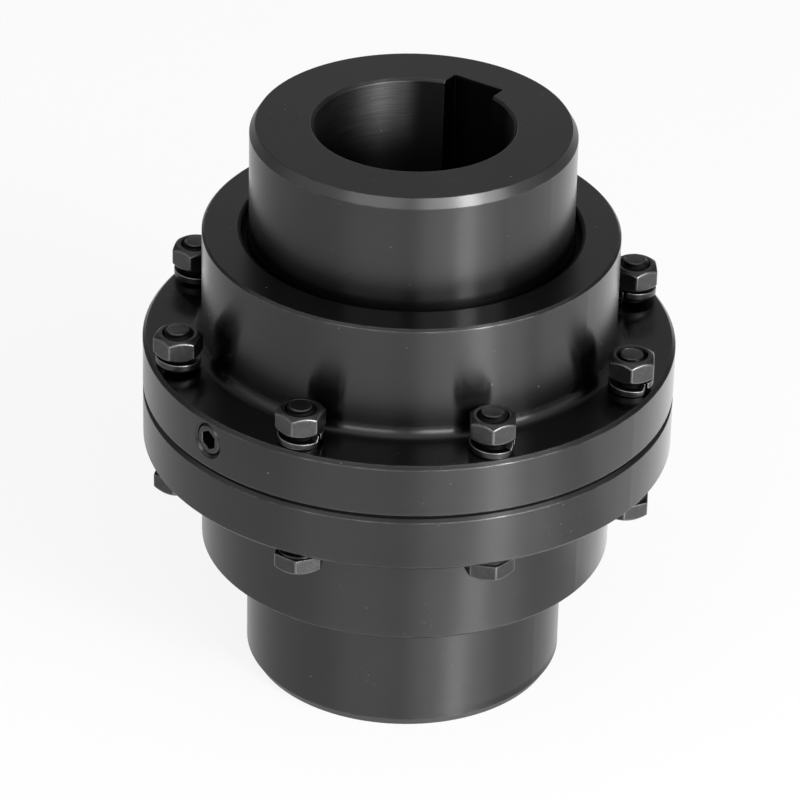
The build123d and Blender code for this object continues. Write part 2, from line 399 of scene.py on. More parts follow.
    def rubbed(self, recipe: Recipe, place: Signal, radius: Signal, height: Signal) -> Signal:
        """How far the black is rubbed off, near the named edges."""
        breaks = recipe.noise(place, self.break_scale, detail=3.0)
        total = breaks * 0.0
        for edge_radius, edge_height in self.edges:
            out = radius - edge_radius * MM
            up = height - edge_height * MM
            distance = (out * out + up * up) ** 0.5
            total = total + (1.0 - recipe.fade(distance, 0.0, self.edge_width))
        return recipe.clamp(total * recipe.fade(breaks, self.break_start, self.break_full))


@dataclass(frozen=True)
class ForgedSteel:
    """Blackened fastener steel: satin, lightly mottled, with fine grain. Sizes are in metres."""

    name: str
    shade: float
    roughness: float
    mottle_size: float = 0.0025
    mottle: float = 0.6
    mottle_roughness: float = 0.12
    grain_size: float = 0.0005
    grain: float = 0.8
    grain_relief: float = 0.5
    relief_strength: float = 0.5
    relief_depth: float = 0.00002

    def material(self) -> Material:
        """Builds the material, which varies evenly to both sides of its shade and roughness."""
        recipe = Recipe(self.name)
        place = recipe.place()
        mottle = recipe.noise(place, 1.0 / self.mottle_size, detail=4.0)
        grain = recipe.noise(place, 1.0 / self.grain_size, detail=3.0)
        light = 1.0 - (self.mottle + self.grain) / 2 + self.mottle * mottle + self.grain * grain
        relief = mottle + self.grain_relief * grain
        return recipe.surface(
            {
                "Base Color": recipe.tint(self.shade, light),
                "Metallic": 1.0,
                "Roughness": self.roughness - self.mottle_roughness / 2 + self.mottle_roughness * mottle,
                "Normal": recipe.bump(relief, self.relief_strength, self.relief_depth),
            }
        )


@dataclass(frozen=True)
class RingStock:
    """Rubber or gasket board: dull, with a fine grain. Sizes are in metres."""

    name: str
    shade: float
    roughness: float
    grain_size: float
    grain: float = 0.6
    grain_roughness: float = 0.2
    relief_strength: float = 0.6
    relief_depth: float = 0.00005
    gleam: float = 0.15

    def material(self) -> Material:
        """Builds the material, which varies evenly to both sides of its shade and roughness."""
        recipe = Recipe(self.name)
        grain = recipe.noise(recipe.place(), 1.0 / self.grain_size, detail=4.0)
        return recipe.surface(
            {
                "Base Color": recipe.tint(self.shade, 1.0 - self.grain / 2 + self.grain * grain),
                "Roughness": self.roughness - self.grain_roughness / 2 + self.grain_roughness * grain,
                "Normal": recipe.bump(grain, self.relief_strength, self.relief_depth),
                "Specular IOR Level": self.gleam,
            }
        )


def dress(piece: Piece, materials: list[Material]) -> None:
    """Gives a piece its materials, in the order of its slots."""
    while len(piece.material_slots) < len(materials):
        piece.data.materials.append(None)
    for slot, material in zip(piece.material_slots, materials):
        slot.material = material


# Modelling by operators

RING_POINTS = 48
ROUNDING_STEPS = 3
SHARP_EDGE = math.radians(30.0)
SOFTENED_FROM = math.radians(25.0)
SMOOTH_UP_TO = math.radians(40.0)
HEXAGON_STEP = math.radians(60.0)
FINEST_MERGE = 0.0000001
FINE_MERGE = 0.000001
THREAD_MERGE = 0.00001
THREAD_SMOOTH_UP_TO = math.radians(35.0)
UPRIGHT = (math.radians(90.0), 0.0, 0.0)


class Outline(Enum):
    """The shape of one ring of points."""

    ROUND = "round"
    HEXAGON = "hexagon"


class SlotOf(IntEnum):
    """Which material slot a part of a fastener wears."""

    BODY = 0
    EDGES = 1
    # near-black, painted as the shade in the nut's bore and on the thread below the bolt's tip
    BORE = 2


@dataclass(frozen=True)
class Ring:
    """One ring of points about Z, in millimetres. A hexagon's radius is that of its flats.

    Bevel radius and bevel slope let a hexagon's corners fall away from its height, as a lathe leaves them.
    """

    radius: float
    height: float
    outline: Outline = Outline.ROUND
    bevel_radius: float = 0.0
    bevel_slope: float = 0.0

    def point(self, angle: float) -> Vector:
        """The ring's point at that angle."""
        reach = self.radius
        if self.outline is Outline.HEXAGON:
            reach = self.radius / math.cos(angle % HEXAGON_STEP - HEXAGON_STEP / 2)
        fall = max(0.0, reach - self.bevel_radius) * self.bevel_slope
        return Vector((reach * math.cos(angle), reach * math.sin(angle), self.height + fall)) * MM


def select_only(piece: Piece) -> None:
    """Makes one piece the active and only selected one."""
    bpy.ops.object.select_all(action="DESELECT")
    piece.select_set(True)
    bpy.context.view_layer.objects.active = piece


def add(primitive: Callable, name: str, **settings: object) -> Piece:
    """Adds a piece by the operator of a primitive, and names it."""
    bpy.ops.object.select_all(action="DESELECT")
    primitive(**settings)
    piece = bpy.context.active_object
    piece.name = name
    return piece


def modify(piece: Piece, kind: str, **settings: object) -> None:
    """Sets a modifier of that kind on the active piece, and applies it."""
    bpy.ops.object.modifier_add(type=kind)
    modifier = piece.modifiers[-1]
    for key, value in settings.items():
        setattr(modifier, key, value)
    bpy.ops.object.modifier_apply(modifier=modifier.name)


def select_whole() -> None:
    """Selects all of the edited mesh."""
    bpy.ops.mesh.select_all(action="SELECT")


def merge_points(distance: float) -> None:
    """Merges the points of the edited mesh that lie within that distance, in metres."""
    select_whole()
    bpy.ops.mesh.remove_doubles(threshold=distance)


def face_outwards() -> None:
    """Turns the faces of the edited mesh outwards."""
    select_whole()
    bpy.ops.mesh.normals_make_consistent(inside=False)


def settle() -> None:
    """Moves the active piece's place into its mesh."""
    bpy.ops.object.transform_apply(location=True, rotation=True, scale=True)


def edited_points(piece: Piece) -> Iterator[bmesh.types.BMVert]:
    """Gives the points of the edited mesh one by one, and hands back the mesh after the last."""
    mesh = bmesh.from_edit_mesh(piece.data)
    yield from mesh.verts
    mesh.select_flush_mode()
    bmesh.update_edit_mesh(piece.data)


def select_points(piece: Piece, wanted: Callable[[Vector], bool]) -> None:
    """Selects the points of the edited mesh whose place is wanted."""
    for point in edited_points(piece):
        point.select = wanted(point.co)


def skin(name: str, rings: list[Ring], bored: bool) -> Piece:
    """Stretches a closed skin over a stack of rings.

    Args:
        name: the piece's name.
        rings: from one end to the other, and back through the bore if there is one.
        bored: True joins the last ring to the first, False closes both ends.

    Returns:
        The piece, with its place in its mesh.
    """
    circle = bpy.ops.mesh.primitive_circle_add
    piece = add(circle, name, vertices=RING_POINTS, radius=rings[0].radius * MM)
    bpy.ops.object.mode_set(mode="EDIT")
    select_whole()
    place_ring(piece, rings[0])
    for ring in rings[1:]:
        bpy.ops.mesh.extrude_region_move()
        place_ring(piece, ring)
    if bored:
        bpy.ops.mesh.extrude_region_move()
        place_ring(piece, rings[0])
        merge_points(FINEST_MERGE)
    else:
        select_whole()
        bpy.ops.mesh.fill_holes(sides=RING_POINTS)
    face_outwards()
    bpy.ops.object.mode_set(mode="OBJECT")
    return piece


def place_ring(piece: Piece, ring: Ring) -> None:
    """Moves the edited piece's selected points onto a ring, each keeping its angle."""
    for point in edited_points(piece):
        if point.select:
            point.co = ring.point(math.atan2(point.co.y, point.co.x))


def wear_edges(piece: Piece, width: float, reach: float) -> None:
    """Rounds the sharp edges that lie far out from Z, in the piece's second material.

    Args:
        piece: the object.
        width: how wide the rounding is, in millimetres.
        reach: how far out an edge must lie, in millimetres.
    """
    select_only(piece)
    bpy.ops.object.mode_set(mode="EDIT")
    bpy.ops.mesh.select_mode(type="EDGE")
    bpy.ops.mesh.select_all(action="DESELECT")
    mesh = bmesh.from_edit_mesh(piece.data)
    for edge in mesh.edges:
        nearest = min(math.hypot(point.co.x, point.co.y) for point in edge.verts)
        edge.select = nearest > reach * MM and edge.calc_face_angle(0.0) > SHARP_EDGE
    mesh.select_flush_mode()
    bmesh.update_edit_mesh(piece.data)
    bpy.ops.mesh.bevel(offset=width * MM, segments=ROUNDING_STEPS, material=SlotOf.EDGES)
    bpy.ops.mesh.select_mode(type="VERT")
    bpy.ops.object.mode_set(mode="OBJECT")


def soften(piece: Piece, width: float) -> None:
    """Rounds a piece's sharp edges to a width in millimetres, and evens its shading."""
    select_only(piece)
    modify(
        piece,
        "BEVEL",
        width=width * MM,
        segments=ROUNDING_STEPS,
        limit_method="ANGLE",
        angle_limit=SOFTENED_FROM,
        material=SlotOf.EDGES,
    )
    bpy.ops.object.shade_smooth_by_angle(angle=SMOOTH_UP_TO)
    modify(piece, "WEIGHTED_NORMAL", keep_sharp=True)


def set_piece(model: Piece, name: str, seat: Matrix, node: str) -> None:
    """Sets a copy of a model, with a mesh of its own, in place of a plain solid on the sleeves.

    Args:
        model: what is copied.
        name: the copy's name.
        seat: where it stands, in metres.
        node: the solid that it stands for.
    """
    piece = model.copy()
    piece.data = model.data.copy()
    piece.name = name
    bpy.context.scene.collection.objects.link(piece)
    piece.matrix_world = seat
    select_only(piece)
    settle()
    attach(piece, BODY_OF_SLEEVES)
    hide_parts(node)


def discard(model: Piece) -> None:
    """Takes a model away once its copies stand."""
    bpy.data.objects.remove(model)


def turn(degrees: float, axis: str = "Z") -> Matrix:
    """A turn about one axis."""
    return Matrix.Rotation(math.radians(degrees), 4, axis)


def shift(x: float, y: float, z: float) -> Matrix:
    """A shift in millimetres."""
    return Matrix.Translation(Vector((x, y, z)) * MM)


# The coupling's places


@dataclass(frozen=True)
class Layout:
    """Heights and circles that the pieces share, in millimetres, as in the solids."""

    bolt_count: int = 8
    bolt_phase: float = 8.9
    bolt_circle: float = 67.4
    bearing_face: float = 70.75
    nut_side: float = 103.25
    plug_phase: float = 257.5
    plug_height: float = 96.5
    rim_radius: float = 74.5

    def bolt_seat(self, index: int, height: float, degrees: float) -> Matrix:
        """Where a piece on a bolt stands, turned by that many degrees."""
        angle = math.radians(self.bolt_phase + 360.0 * index / self.bolt_count)
        place = shift(self.bolt_circle * math.cos(angle), self.bolt_circle * math.sin(angle), height)
        return place @ turn(degrees)


@dataclass
class Fasteners:
    """Bolts, nuts and open spring washers round the flanges. Sizes are in millimetres, turns in degrees."""

    layout: Layout
    worn_round: float = 0.38
    worn_share: float = 0.99
    edge_round: float = 0.08
    head_flat: float = 6.375
    head_face_share: float = 0.95
    head_bevel: float = math.tan(math.radians(30.0))
    shank_radius: float = 4.0
    head_height: float = 5.3
    head_face_height: float = 0.5
    head_face_radius: float = 5.8
    bolt_length: float = 44.6
    bolt_point: float = 1.0
    thread_pitch: float = 1.25
    thread_depth: float = 0.72
    thread_length: float = 20.0
    thread_spare_turns: int = 2
    margin: float = 0.01
    point_round: float = 0.3
    point_rim: float = 0.7
    point_dish: float = 0.4
    nut_flat: float = 6.125
    nut_face_share: float = 0.88
    nut_bevel: float = math.tan(math.radians(35.0))
    nut_height: float = 6.5
    nut_bore: float = 4.03
    nut_countersink: float = 0.5
    washer_inner: float = 4.15
    washer_width: float = 2.1
    washer_thickness: float = 1.8
    washer_slot: float = 9.0
    washer_round: float = 0.85
    nut_turns: tuple[float, ...] = (2.3, 7.0, 20.0, 35.0, 53.1, 45.6, 46.0, 4.5)
    head_turns: tuple[float, ...] = (0.9, 16.0, 33.0, 47.0, 9.0, 54.0, 58.0, 20.9)
    slot_turns: tuple[float, ...] = (337.0, 268.0, 120.0, 40.0, 57.0, 207.0, 355.0, 3.0)
    washer_heights: tuple[float, ...] = (3.8, 4.2, 4.0, 4.2, 4.1, 4.1, 3.5, 4.0)
    bolt_drops: tuple[float, ...] = (1.6, 0.0, 0.4, 0.2, 0.6, 0.4, 1.3, 0.3)

    def build(self) -> None:
        """Models one bolt and nut, and sets a copy of each with a washer at every bolt place."""
        bolt_steel = ForgedSteel("bolt_steel", shade=0.062, roughness=0.36).material()
        bolt_edge = ForgedSteel("bolt_edge_steel", shade=0.13, roughness=0.34).material()
        spring_steel = ForgedSteel("spring_steel", shade=0.05, roughness=0.34).material()
        spring_edge = ForgedSteel("spring_edge_steel", shade=0.22, roughness=0.32).material()
        # painted shade for the nut's bore and the thread below the bolt's tip
        shaded_bore_steel = ForgedSteel("painted_shade_steel", shade=0.012, roughness=0.5).material()
        steels = [bolt_steel, bolt_edge, shaded_bore_steel]
        bolt, nut = self.bolt(steels), self.nut(steels)
        nut_side = self.layout.nut_side
        for index in range(self.layout.bolt_count):
            number = index + 1
            height = self.washer_heights[index]
            bearing_height = self.layout.bearing_face - self.bolt_drops[index]
            seat = self.layout.bolt_seat(index, bearing_height, self.head_turns[index])
            set_piece(bolt, f"threaded_bolt_{number}", seat, f"bolt_{number}")
            seat = self.layout.bolt_seat(index, nut_side + height, self.nut_turns[index])
            set_piece(nut, f"hexagon_nut_{number}", seat, f"nut_{number}")
            washer = self.washer(height, [spring_steel, spring_edge])
            seat = self.layout.bolt_seat(index, nut_side, self.slot_turns[index])
            set_piece(washer, f"open_washer_{number}", seat, f"spring_washer_{number}")
            discard(washer)
        discard(bolt)
        discard(nut)
        log.info("fasteners: set at %d places", self.layout.bolt_count)

    def nut(self, materials: list[Material]) -> Piece:
        """One nut, its lower face at height 0."""
        face = self.nut_face_share * self.nut_flat
        mouth = self.nut_bore + self.nut_countersink
        top = self.nut_height
        rings = [
            Ring(mouth, 0.0),
            Ring(face, 0.0),
            Ring(self.nut_flat, 0.0, Outline.HEXAGON, face, self.nut_bevel),
            Ring(self.nut_flat, top, Outline.HEXAGON, face, -self.nut_bevel),
            Ring(face, top),
            Ring(mouth, top),
            Ring(self.nut_bore, top - self.nut_countersink),
            Ring(self.nut_bore, self.nut_countersink),
        ]
        piece = skin("nut_model", rings, bored=True)
        dress(piece, materials)
        wear_edges(piece, self.worn_round, self.worn_share * self.nut_flat)
        self.shade_bore(piece, mouth)
        soften(piece, self.edge_round)
        return piece

    def shade_bore(self, nut: Piece, mouth: float) -> None:
        """Gives the nut's bore, as wide as its countersunk mouth, its own material, painted dark as the shade
        in the hole.
        """
        for face in nut.data.polygons:
            if math.hypot(face.center.x, face.center.y) < mouth * MM:
                face.material_index = SlotOf.BORE

    def bolt(self, materials: list[Material]) -> Piece:
        """One bolt, its bearing face at height 0 and its head below."""
        face = self.head_face_share * self.head_flat
        thread_start = self.bolt_length - self.thread_length
        rings = [
            Ring(face, -self.head_height),
            Ring(self.head_flat, -self.head_height, Outline.HEXAGON, face, self.head_bevel),
            Ring(self.head_flat, -self.head_face_height, Outline.HEXAGON),
            Ring(self.head_face_radius, -self.head_face_height),
            Ring(self.head_face_radius, 0.0),
            Ring(self.shank_radius, 0.0),
            Ring(self.shank_radius, thread_start),
        ]
        body = skin("bolt_model", rings, bored=False)
        dress(body, materials)
        wear_edges(body, self.worn_round, self.worn_share * self.head_flat)
        soften(body, self.edge_round)
        thread = self.thread(thread_start, materials)
        select_only(body)
        thread.select_set(True)
        bpy.ops.object.join()
        return body

    def thread(self, start: float, materials: list[Material]) -> Piece:
        """The threaded end, from a height up to the bolt's point."""
        thread = self.thread_ridge(start)
        self.wind(thread)
        bpy.ops.object.mode_set(mode="EDIT")
        merge_points(THREAD_MERGE)
        self.cut_off(self.bolt_length, above=True)
        self.cut_off(start, above=False)
        face_outwards()
        self.point_thread(thread)
        bpy.ops.object.mode_set(mode="OBJECT")
        dress(thread, materials)
        self.dish_tip(thread)
        bpy.ops.object.shade_smooth_by_angle(angle=THREAD_SMOOTH_UP_TO)
        return thread

    def thread_ridge(self, start: float) -> Piece:
        """The outline of one ridge of the thread, a turn below its start."""
        root = self.shank_radius - self.thread_depth
        half_pitch = self.thread_pitch / 2
        base = Vector((root, 0.0, start - self.thread_pitch)) * MM
        circle = bpy.ops.mesh.primitive_circle_add
        size = half_pitch * MM
        ridge = add(circle, "thread_model", vertices=4, radius=size, location=base, rotation=UPRIGHT)
        settle()
        bpy.ops.object.mode_set(mode="EDIT")
        select_points(ridge, lambda place: place.x < (root - self.margin) * MM)
        bpy.ops.mesh.delete(type="VERT")
        select_whole()
        depth_share = self.thread_depth / half_pitch
        bpy.ops.transform.resize(value=(depth_share, 1.0, 1.0), center_override=base)
        bpy.ops.object.mode_set(mode="OBJECT")
        return ridge

    def wind(self, ridge: Piece) -> None:
        """Winds the ridge's outline into a thread, a little longer than needed."""
        turns = math.ceil(self.thread_length / self.thread_pitch) + self.thread_spare_turns
        modify(
            ridge,
            "SCREW",
            steps=RING_POINTS // 2,
            render_steps=RING_POINTS // 2,
            screw_offset=self.thread_pitch * MM,
            iterations=turns,
            use_merge_vertices=True,
            merge_threshold=THREAD_MERGE,
        )

    def cut_off(self, height: float, above: bool) -> None:
        """Cuts off what the edited mesh has above a height, or else below it."""
        place = Vector((0.0, 0.0, height)) * MM
        outward = (0, 0, 1 if above else -1)
        select_whole()
        bpy.ops.mesh.bisect(plane_co=place, plane_no=outward, use_fill=True, clear_outer=True)

    def dish_tip(self, thread: Piece) -> None:
        """Rounds the tip's rim and sinks its middle, and gives the rest of the thread the painted shade
        material.
        """
        tip = (self.bolt_length - self.margin) * MM
        for face in thread.data.polygons:
            face.material_index = SlotOf.BODY if face.center.z > tip else SlotOf.BORE
        select_only(thread)
        bpy.ops.object.mode_set(mode="EDIT")
        select_points(thread, lambda place: place.z > tip)
        bpy.ops.mesh.bevel(offset=self.point_round * MM, segments=ROUNDING_STEPS, material=SlotOf.EDGES)
        select_points(thread, lambda place: place.z > tip)
        bpy.ops.mesh.inset(thickness=self.point_rim * MM, depth=-self.point_dish * MM)
        bpy.ops.object.mode_set(mode="OBJECT")

    def point_thread(self, thread: Piece) -> None:
        """Turns the edited thread's end down to a cone."""
        for point in edited_points(thread):
            reach = math.hypot(point.co.x, point.co.y)
            room = (self.shank_radius - self.bolt_point + self.bolt_length) * MM - point.co.z
            if reach > room:
                point.co.x *= room / reach
                point.co.y *= room / reach

    def washer(self, height: float, materials: list[Material]) -> Piece:
        """One open spring washer of that height, left-handed, its low end on height 0."""
        middle = self.washer_inner + self.washer_width / 2
        base = Vector((middle, 0.0, self.washer_thickness / 2)) * MM
        plane = bpy.ops.mesh.primitive_plane_add
        size = self.washer_thickness * MM
        washer = add(plane, "washer_model", size=size, location=base, rotation=UPRIGHT)
        settle()
        dress(washer, materials)
        bpy.ops.object.mode_set(mode="EDIT")
        select_whole()
        widening = self.washer_width / self.washer_thickness
        bpy.ops.transform.resize(value=(widening, 1.0, 1.0), center_override=base)
        select_whole()
        sweep = math.radians(360.0 - self.washer_slot)
        bpy.ops.mesh.spin(steps=RING_POINTS, angle=sweep, center=(0, 0, 0), axis=(0, 0, 1), dupli=False)
        merge_points(FINE_MERGE)
        face_outwards()
        self.coil_washer(washer, sweep, (height - self.washer_thickness) * MM)
        bpy.ops.object.mode_set(mode="OBJECT")
        soften(washer, self.washer_round)
        return washer

    def coil_washer(self, washer: Piece, sweep: float, rise: float) -> None:
        """Raises the washer's wire evenly along its turn.

        Args:
            washer: the flat washer in edit mode.
            sweep: the angle that its wire covers.
            rise: how far its high end stands above its low end, in metres.
        """
        half_slot = math.radians(self.washer_slot / 2)
        for point in edited_points(washer):
            angle = math.atan2(point.co.y, point.co.x) % math.tau
            if angle > sweep + half_slot:
                angle = 0.0
            point.co.z += rise * (1.0 - angle / sweep)
        select_whole()
        bpy.ops.transform.rotate(value=-half_slot, orient_axis="Z", center_override=(0, 0, 0))


@dataclass
class GreasePlugs:
    """The two headless plugs in the upper flange's rim."""

    layout: Layout
    radius: float = 4.6
    chamfer: float = 0.7
    length: float = 8.0
    inset: float = 0.35
    socket_flat: float = 2.5
    socket_depth: float = 4.5
    socket_mouth: float = 0.15
    edge_round: float = 0.18

    def build(self) -> None:
        """Models one plug and sets a copy in each port."""
        plug_steel = ForgedSteel("plug_steel", shade=0.052, roughness=0.33).material()
        plug_edge = ForgedSteel("plug_edge_steel", shade=0.10, roughness=0.35).material()
        model = self.plug([plug_steel, plug_edge])
        lie = turn(90.0, "Y") @ shift(0.0, 0.0, -self.inset)
        for number, half_turn in ((1, 0.0), (2, 180.0)):
            port = turn(self.layout.plug_phase + half_turn)
            port = port @ shift(self.layout.rim_radius, 0.0, self.layout.plug_height)
            set_piece(model, f"socket_plug_{number}", port @ lie, f"grease_plug_{number}")
        discard(model)
        log.info("grease plugs: set in both ports")

    def plug(self, materials: list[Material]) -> Piece:
        """One plug, its outer face at height 0 and its socket sunk from there."""
        mouth = self.socket_flat + self.socket_mouth
        rings = [
            Ring(self.socket_flat, -self.socket_depth, Outline.HEXAGON),
            Ring(self.socket_flat, -self.socket_mouth, Outline.HEXAGON),
            Ring(mouth, 0.0, Outline.HEXAGON),
            Ring(self.radius - self.chamfer, 0.0),
            Ring(self.radius, -self.chamfer),
            Ring(self.radius, self.chamfer - self.length),
            Ring(self.radius - self.chamfer, -self.length),
        ]
        piece = skin("plug_model", rings, bored=False)
        dress(piece, materials)
        soften(piece, self.edge_round)
        return piece


@dataclass
class TurnedParts:
    """The hubs and sleeves, which keep their solids' shape and get their finish here. In millimetres."""

    hub_radius: float = 45.0
    hub_length: float = 82.0
    hub_chamfer: float = 1.6
    hub_chamfer_length: float = 2.6
    bore_radius: float = 27.5
    bore_chamfer: float = 0.8
    total_height: float = 168.0
    joint_low: float = 86.75
    joint_high: float = 87.25
    flange_radius: float = 74.5
    flange_thickness: float = 16.0
    flange_chamfer: float = 1.0
    sleeve_radius: float = 58.0
    sleeve_chamfer: float = 0.7
    sleeve_length: float = 48.7516
    lip_radius: float = 47.2
    lip_chamfer: float = 0.5
    bore_wall: float = 33.0
    honed_margin: float = 0.6
    # depth over which the honed mouth's paleness fades into the bore's painted shade
    honed_depth: float = 24.0
    honed_wall: float = 27.9
    # the gap zone of painted shade, with grease, reaches up to this height on the hub and this far past the
    # sleeve's lip
    shaded_gap_top: float = 136.0
    shaded_gap_lip: float = 1.0
    rim_margin: float = 1.0

    def hub_edges(self, upper: bool) -> tuple[tuple[float, float], ...]:
        """Edges of a hub's outer end, as radius and height."""
        end, way = (self.total_height, -1.0) if upper else (0.0, 1.0)
        edges = (
            (self.hub_radius - self.hub_chamfer, 0.0),
            (self.hub_radius, self.hub_chamfer_length),
            (self.bore_radius + self.bore_chamfer, 0.0),
            (self.bore_radius, self.bore_chamfer),
        )
        return tuple((radius, end + way * inward) for radius, inward in edges)

    def sleeve_edges(self, upper: bool) -> tuple[tuple[float, float], ...]:
        """Edges of a sleeve, as radius and height."""
        joint, way = (self.joint_high, 1.0) if upper else (self.joint_low, -1.0)
        rim, wall = self.flange_radius, self.sleeve_radius
        edges = (
            (rim - self.flange_chamfer, self.flange_thickness),
            (rim, self.flange_thickness - self.flange_chamfer),
            (rim, self.flange_chamfer),
            (wall, self.sleeve_length - self.sleeve_chamfer),
            (wall - self.sleeve_chamfer, self.sleeve_length),
            (self.lip_radius + self.lip_chamfer, self.sleeve_length),
        )
        return tuple((radius, joint + way * out) for radius, out in edges)

    def end_zone(self, upper: bool, inner: float, outer: float, near: float, far: float, fade: float) -> Zone:
        """A zone at a hub's outer end.

        Args:
            upper: True for the upper hub, whose outer end is on top.
            inner: the zone's inner radius.
            outer: its outer radius.
            near: how far from the end it begins.
            far: how far from the end it stops.
            fade: how wide its border is on the far side.

        Returns:
            The zone, in the hub's own heights.
        """
        if upper:
            return Zone(inner, outer, self.total_height - far, self.total_height - near, low_fade=fade)
        return Zone(inner, outer, near, far, high_fade=fade)

    def hub_finish(self, name: str, upper: bool) -> TurnedSteel:
        """The finish of the upper or lower hub."""
        margin, wall, depth = self.honed_margin, self.bore_wall, self.honed_depth
        # The hub wall inside the sleeve is painted dark as the gap's shade, with grease.
        shaded_gap_low = self.joint_low - self.sleeve_length
        chamfer, rim = self.hub_radius - self.hub_chamfer, self.hub_radius + self.rim_margin
        # The bore zone is painted near-black as the shade inside the hub, and the honed mouth fades into it.
        return TurnedSteel(
            name,
            self.hub_edges(upper),
            greasy_shaded_gap=Zone(wall, self.sleeve_radius, shaded_gap_low, self.shaded_gap_top),
            bore=self.end_zone(upper, FROM_AXIS, wall, margin, self.hub_length, SOFT_BORDER),
            honed=self.end_zone(upper, FROM_AXIS, self.honed_wall, margin, margin + depth, depth),
            ground=self.end_zone(upper, chamfer, rim, 0.0, self.hub_chamfer_length, SOFT_BORDER),
        )

    def sleeve_finish(self, name: str, upper: bool) -> TurnedSteel:
        """The finish of the upper or lower sleeve."""
        # The sleeve's inner faces are painted dark as the gap's shade, with grease.
        greasy_shaded_gap = Zone(FROM_AXIS, self.lip_radius + self.shaded_gap_lip, 0.0, self.total_height)
        return TurnedSteel(name, self.sleeve_edges(upper), greasy_shaded_gap)

    def build(self) -> None:
        """Dresses both hubs and both sleeves."""
        for side, upper in (("upper", True), ("lower", False)):
            hub = self.hub_finish(f"{side}_hub_steel", upper)
            sleeve = self.sleeve_finish(f"{side}_sleeve_steel", upper)
            dress(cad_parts[f"{side}_hub"], [hub.material()])
            dress(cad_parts[f"{side}_sleeve"], [sleeve.material()])
            log.info("%s hub and sleeve: dressed", side)


def dress_soft_rings() -> None:
    """Dresses the seal rings and the joint gasket, both near-black: rubber's own black, and painted shade in
    the gaps.
    """
    # The seal's black is darkened further as painted shade in the gap round each hub; the gasket is painted
    # as the shadow in the joint between the flanges.
    rubber = RingStock("seal_rubber", shade=0.004, roughness=0.8, grain_size=0.0008).material()
    board = RingStock("gasket_painted_shade", shade=0.003, roughness=0.9, grain_size=0.0006).material()
    for node in ("upper_seal_ring", "lower_seal_ring"):
        dress(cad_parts[node], [rubber])
    dress(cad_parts["joint_gasket"], [board])
    log.info("seal rings and gasket: dressed")


# Studio


@dataclass(frozen=True)
class Lamp:
    """One soft lamp, whose level is its own brightness. Sizes are in metres, angles in degrees.

    Its azimuth is measured from the camera's, to the right. A lying lamp is a light table that faces straight
    up.
    """

    name: str
    azimuth: float
    elevation: float
    distance: float
    width: float
    height: float
    level: float
    lying: bool = False

    def energy(self) -> float:
        """The lamp's power in watts."""
        return math.pi * self.width * self.height * self.level


